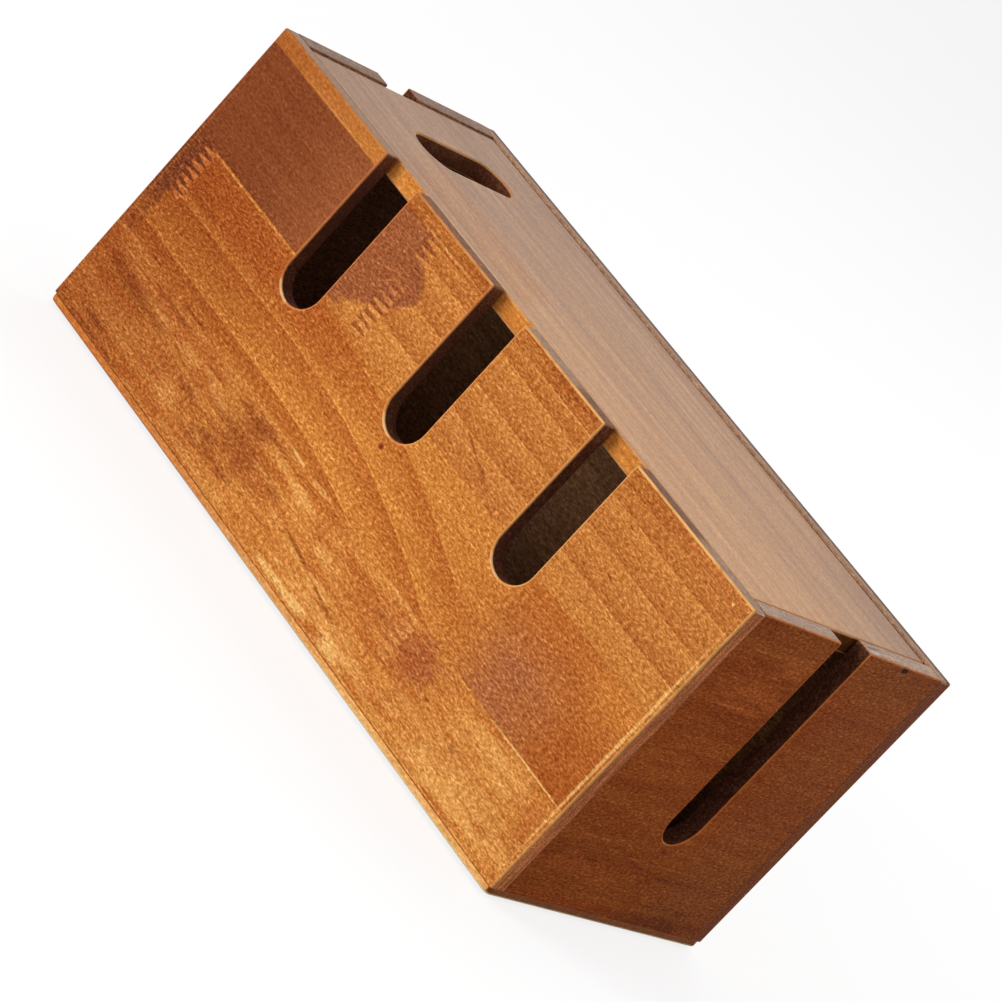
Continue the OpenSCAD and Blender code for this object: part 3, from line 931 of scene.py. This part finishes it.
def makePlainWood(name, look, turn):
    material, tree, shader, grain = startWood(name, look, turn=turn)
    bands = noise(tree, grain, (0.008, 0.05, 0.05), 3.0, 0.6)
    finishWood(tree, shader, grain, blend(tree, bands, look["dark"], look["light"]), look)
    return material


frontWood = makeFrontWood(frontWoodLook)
rightEndWood = makeEndWood("rightEndWood", endWoodLook, 1, rightEndMarks, rightRimMarks)
leftEndWood = makeEndWood("leftEndWood", leftEndLook, -1, (), ())
lidWood = makeLidWood(lidWoodLook)
backWood = makeBackWood(backWoodLook)
baseWood = makeBaseWood(baseWoodLook)
insideWood = makePlainWood("insideWood", insideWoodLook, turn=(0, pi / 2, 0))
dowelWood = makePlainWood("dowelWood", dowelWoodLook, turn=(0, 0, pi / 2))
print("woods ready")


pinSteelLook = {
    "scale": (6.0, 0.8, 0.8), "dark": (176, 176, 178), "light": (206, 206, 208), "roughness": (0.28, 0.48),
}
padRubberLook = {
    "scale": (1.6, 1.6, 1.6), "dark": (28, 27, 26), "light": (52, 50, 48), "roughness": (0.65, 0.9),
    "specular": 0.3, "bump": 0.3,
    "bumpDepth": 0.1,  # mm
}


def mottled(tree, shader, look):  # the same noise in the colour and in the roughness
    grains = noise(tree, inMillimetres(tree), look["scale"], 3.0, 0.6)
    colour = colourMix(tree, grains, tint(*look["dark"]), tint(*look["light"]))
    feed(tree, shader.inputs["Base Color"], colour)
    feed(tree, shader.inputs["Roughness"], fade(tree, grains, 0.2, 0.8, *look["roughness"]))
    return grains


def makePinSteel(look):
    material, tree, shader = startMaterial("pinSteel")
    shader.inputs["Metallic"].default_value = 1.0
    mottled(tree, shader, look)
    return material


def makePadRubber(look):
    material, tree, shader = startMaterial("padRubber")
    shader.inputs["Specular IOR Level"].default_value = look["specular"]
    addBump(tree, shader, mottled(tree, shader, look), look)
    return material


pinSteel = makePinSteel(pinSteelLook)
padRubber = makePadRubber(padRubberLook)

tiny = 0.01 * mm
flat = 0.999  # from here on a face counts as square to an axis
sharp = radians(40)  # edges that turn more than this are rounded over
sideRubAndHighlight = 0.6  # how much rubbing and painted highlight an arris has where it meets the flat faces


def startPiece():
    bm = bmesh.new()
    for name in ("arris", "edge", "slotWall", "endGrain", "rim", "inside"):
        bm.loops.layers.float.new(name)
    return bm


def sharpEdges(bm):
    return [e for e in bm.edges if len(e.link_faces) == 2 and e.calc_face_angle() > sharp]


def bevel(bm, edges, width, segments):
    made = bmesh.ops.bevel(
        bm, geom=edges, offset=width, offset_type="OFFSET", segments=segments, profile=0.5,
        affect="EDGES", material=-1, clamp_overlap=True,
    )
    return made["faces"]


def roundOver(bm, edges, width, segments=3, mark="arris", amount=lambda face: 1.0):
    rounded = set(bevel(bm, edges, width, segments))
    bm.normal_update()
    layer = bm.loops.layers.float[mark]
    for face in rounded:
        for loop in face.loops:
            inner = all(other in rounded for other in loop.vert.link_faces)
            loop[layer] = amount(face) * (1.0 if inner or mark != "arris" else sideRubAndHighlight)


def onlyVerts(geometry):
    return [v for v in geometry if isinstance(v, bmesh.types.BMVert)]


def thicken(bm, way):  # a flat outline becomes a board
    made = bmesh.ops.extrude_face_region(bm, geom=bm.faces[:])
    bmesh.ops.translate(bm, verts=onlyVerts(made["geom"]), vec=way)
    bmesh.ops.recalc_face_normals(bm, faces=bm.faces)


def arcFrom(bm, vert, centre, axis, angle, steps):  # gives the arc's last vertex
    made = bmesh.ops.spin(bm, geom=[vert], cent=centre, axis=axis, angle=angle, steps=steps)
    return onlyVerts(made["geom_last"])[0]


def markFaces(bm, name, amount):  # an attribute's value on each face, from 0 to 1
    layer = bm.loops.layers.float[name]
    for face in bm.faces:
        for loop in face.loops:
            loop[layer] = float(amount(face))


def finishPiece(bm, name, material, body, slot, *nodes):
    bmesh.ops.recalc_face_normals(bm, faces=bm.faces)
    mesh = bpy.data.meshes.new(name)
    bm.to_mesh(mesh)
    bm.free()
    mesh.polygons.foreach_set("use_smooth", [True] * len(mesh.polygons))
    mesh.materials.append(material)
    piece = newObject(name, mesh)
    weighted = piece.modifiers.new("evenShading", "WEIGHTED_NORMAL")
    weighted.keep_sharp = True
    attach(piece, body)
    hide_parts(*nodes)


def lineTo(bm, last, x, z):
    vert = bm.verts.new((x, 0, z))
    bm.edges.new((last, vert))
    return vert


boardLook = {
    "round": 0.8 * mm,  # arrises that a hand meets
    "endRound": 0.5 * mm,  # the same on the two end boards
    "joint": 0.08 * mm,  # edges where two boards are glued
    "seam": 0.2 * mm,  # edges along the base board
    "innerRubAndHighlight": 0.15,  # how much of the rubbing and painted highlight the inner arrises have
    "slotSteps": 24,
}


def slottedBoard(bm, size, slots):
    # stands on z = 0 with its outside face at y = 0 and its thickness towards +Y
    length, thick, height = size
    first = last = bm.verts.new((-length / 2, 0, 0))
    last = lineTo(bm, last, length / 2, 0)
    last = lineTo(bm, last, length / 2, height)
    for slot in reversed(slots):
        half = slot["width"] / 2
        bottom = height - slot["depth"] + half
        last = lineTo(bm, last, slot["place"] + half, height)
        last = lineTo(bm, last, slot["place"] + half, bottom)
        last = arcFrom(bm, last, (slot["place"], 0, bottom), (0, 1, 0), pi, boardLook["slotSteps"])
        last = lineTo(bm, last, slot["place"] - half, height)
    last = lineTo(bm, last, -length / 2, height)
    bm.edges.new((last, first))
    bmesh.ops.contextual_create(bm, geom=bm.edges[:])
    thicken(bm, (0, thick, 0))


def edgeKind(edge, size, butted):
    length, thick, height = size
    middle = (edge.verts[0].co + edge.verts[1].co) / 2
    atEnd = abs(abs(middle.x) - length / 2) < tiny
    upright = abs(edge.verts[0].co.z - edge.verts[1].co.z) > height / 2
    if middle.z < tiny:
        return "seam"
    if atEnd and (butted or (upright and middle.y > thick / 2)):
        return "joint"
    return "round"


def easeBoard(bm, size, butted):
    for kind, segments, mark in (("round", 3, "arris"), ("seam", 2, "edge"), ("joint", 2, "edge")):
        edges = [e for e in sharpEdges(bm) if edgeKind(e, size, butted) == kind]
        width = boardLook["endRound"] if butted and kind == "round" else boardLook[kind]
        roundOver(
            bm, edges, width, segments, mark,
            lambda f: 1.0 if f.normal.y < -0.1 or mark != "arris" else boardLook["innerRubAndHighlight"],
        )


def markBoard(bm, size):
    length, _, height = size
    edgeStrip = 1.5 * mm

    def isRim(face):
        upwards = face.normal.y > flat - 1 and face.normal.z > 0.3
        return upwards and face.calc_center_median().z > height - edgeStrip

    def isEnd(face):
        return abs(face.normal.x) > flat and abs(face.calc_center_median().x) > length / 2 - tiny

    def isSlotWall(face):
        middle = face.calc_center_median()
        across = flat - 1 < face.normal.y < flat and not isRim(face)
        return across and abs(middle.x) < length / 2 - edgeStrip and middle.z > mm

    markFaces(bm, "inside", lambda f: f.normal.y > flat)
    markFaces(bm, "rim", isRim)
    markFaces(bm, "endGrain", isEnd)
    markFaces(bm, "slotWall", isSlotWall)


frontSlots = {"width": 20 * mm, "depth": 62 * mm, "pitch": 70 * mm, "count": 3}
endSlot = {"width": 20 * mm, "depth": 94 * mm}


def placeBoard(bm, node, turn):
    low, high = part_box(node)
    centre = (low + high) / 2
    front, back = (centre.x, low.y), (centre.x, high.y)
    right, left = (high.x, centre.y), (low.x, centre.y)
    outside = {0: front, 90: right, 180: back, -90: left}[turn]
    rotate = Matrix.Rotation(radians(turn), 4, "Z")
    bmesh.ops.transform(bm, matrix=Matrix.Translation((*outside, low.z)) @ rotate, verts=bm.verts)


def makeBoard(node, name, material, slot, turn, slots):
    low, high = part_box(node)
    size = high - low
    butted = turn in (90, -90)  # the end boards stand between the front and the back
    if butted:
        size = Vector((size.y, size.x, size.z))
    bm = startPiece()
    slottedBoard(bm, size, slots)
    easeBoard(bm, size, butted)
    bm.normal_update()
    markBoard(bm, size)
    placeBoard(bm, node, turn)
    finishPiece(bm, name, material, "box", slot, node)


middleSlot = (frontSlots["count"] - 1) / 2
slotPlaces = [(i - middleSlot) * frontSlots["pitch"] for i in range(frontSlots["count"])]
slotsInFront = [{"place": place, **frontSlots} for place in slotPlaces]
slotInEnd = [{"place": 0.0, **endSlot}]
makeBoard("front_panel", "frontBoard", frontWood, "front_wood", 0, slotsInFront)
makeBoard("back_panel", "backBoard", backWood, "back_wood", 180, [])
makeBoard("right_end_panel", "rightEndBoard", rightEndWood, "end_wood", 90, slotInEnd)
makeBoard("left_end_panel", "leftEndBoard", leftEndWood, "end_wood", -90, slotInEnd)
print("walls ready")


def slab(bm, low, high):
    bmesh.ops.create_cube(bm, size=1.0)
    bmesh.ops.scale(bm, vec=high - low, verts=bm.verts)
    bmesh.ops.translate(bm, vec=(low + high) / 2, verts=bm.verts)


baseLook = {"corner": 3 * mm, "cornerSteps": 5, "ease": 0.2 * mm, "lowerRound": 0.9 * mm}


def makeBase(look):
    bm = startPiece()
    slab(bm, *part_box("base_board"))
    uprights = [e for e in bm.edges if abs(e.verts[0].co.z - e.verts[1].co.z) > mm]
    bevel(bm, uprights, look["corner"], look["cornerSteps"])
    seams = [e for e in sharpEdges(bm) if min(v.co.z for v in e.verts) > boxCorner.z + mm]
    roundOver(bm, seams, look["ease"], mark="edge")
    roundOver(bm, sharpEdges(bm), look["lowerRound"])
    markFaces(bm, "inside", lambda f: f.normal.z > flat)
    markFaces(bm, "endGrain", lambda f: abs(f.normal.x) > 0.5)
    finishPiece(bm, "baseBoard", baseWood, "box", "base_wood", "base_board")


makeBase(baseLook)

lidLook = {
    "round": 0.7 * mm,
    "holeWidth": 20 * mm,
    "holeLength": 55 * mm,
    "holeFromEnd": 46.5 * mm,  # from the outside of the left end
    "holeOffset": 4 * mm,  # towards the back
    "arcSteps": 12,
}


def halfLid(bm, side, low, high, look):
    # one half of the lid's top, split through the middle of the finger hole; side is -1 or 1
    holeX = boxCorner.x + look["holeFromEnd"]
    radius = look["holeWidth"] / 2
    reach = look["holeLength"] / 2 - radius
    arcBack, arcFront = ((holeX, look["holeOffset"] + y, high.z) for y in (reach, -reach))
    quarter = ((0, 0, -side), pi / 2, look["arcSteps"])  # axis, angle and steps
    known = set(bm.edges)
    endX = low.x if side < 0 else high.x
    corners = ((holeX, low.y), (endX, low.y), (endX, high.y), (holeX, high.y))
    holeEnd = (holeX, look["holeOffset"] + reach + radius)
    verts = [bm.verts.new((x, y, high.z)) for x, y in (*corners, holeEnd)]
    for pair in zip(verts, verts[1:]):
        bm.edges.new(pair)
    last = arcFrom(bm, verts[-1], arcBack, *quarter)
    lower = bm.verts.new((holeX + side * radius, look["holeOffset"] - reach, high.z))
    bm.edges.new((last, lower))
    last = arcFrom(bm, lower, arcFront, *quarter)
    bm.edges.new((last, verts[0]))
    bmesh.ops.contextual_create(bm, geom=[e for e in bm.edges if e not in known])


def makeLid(look):
    bm = startPiece()
    low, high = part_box("lid")
    for side in (-1, 1):
        halfLid(bm, side, low, high, look)
    bmesh.ops.remove_doubles(bm, verts=bm.verts, dist=0.001 * mm)
    thicken(bm, (0, 0, low.z - high.z))
    roundOver(bm, sharpEdges(bm), look["round"])

    def isEnd(face):
        return abs(face.normal.x) > flat and not low.x + mm < face.calc_center_median().x < high.x - mm

    def isLongSide(face):
        return abs(face.normal.y) > flat and not low.y + mm < face.calc_center_median().y < high.y - mm

    def isHoleWall(face):
        return abs(face.normal.z) < 1 - flat and not isEnd(face) and not isLongSide(face)

    markFaces(bm, "rim", lambda f: f.normal.z > flat)
    markFaces(bm, "inside", lambda f: f.normal.z < -flat)
    markFaces(bm, "endGrain", isEnd)
    markFaces(bm, "edge", isLongSide)
    markFaces(bm, "slotWall", isHoleWall)
    finishPiece(bm, "lidBoard", lidWood, "lid", "lid_wood", "lid")


makeLid(lidLook)
print("lid ready")

blockLook = {"bevel": 4 * mm, "ease": 0.4 * mm}
corners = {  # name: which side of the box, along X and Y
    "front_left": (-1, -1), "front_right": (1, -1), "back_left": (-1, 1), "back_right": (1, 1),
}


def makeBlock(node, sideX, sideY, look):
    bm = startPiece()
    low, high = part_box(node)
    slab(bm, low, high)
    inner = Vector((low.x if sideX > 0 else high.x, low.y if sideY > 0 else high.y))
    free = [e for e in bm.edges if all((v.co.xy - inner).length < tiny for v in e.verts)]
    bevel(bm, free, look["bevel"], 1)
    roundOver(bm, sharpEdges(bm), look["ease"], 2)
    markFaces(bm, "endGrain", lambda f: abs(f.normal.z) > flat)
    finishPiece(bm, node.replace("_", ""), insideWood, "box", "inside_wood", node)


for corner, sides in corners.items():
    makeBlock(corner + "_corner_block", *sides, blockLook)

padLook = {"ease": 0.35 * mm, "sides": 64}


def makePad(node, look):
    bm = startPiece()
    low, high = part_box(node)
    size = high - low
    bmesh.ops.create_cone(
        bm, cap_ends=True, segments=look["sides"], radius1=size.x / 2, radius2=size.x / 2, depth=size.z
    )
    bmesh.ops.translate(bm, vec=(low + high) / 2, verts=bm.verts)
    roundOver(bm, sharpEdges(bm), look["ease"])
    finishPiece(bm, node.replace("_", ""), padRubber, "box", "pad_rubber", node)


for corner in corners:
    makePad(corner + "_pad", padLook)


def dress(node, material):  # for pieces that keep their own mesh
    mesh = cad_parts[node].data
    mesh.materials.clear()
    mesh.materials.append(material)


for corner in corners:
    dress(corner + "_dowels", dowelWood)
dress("base_pins", pinSteel)
print("small pieces ready")
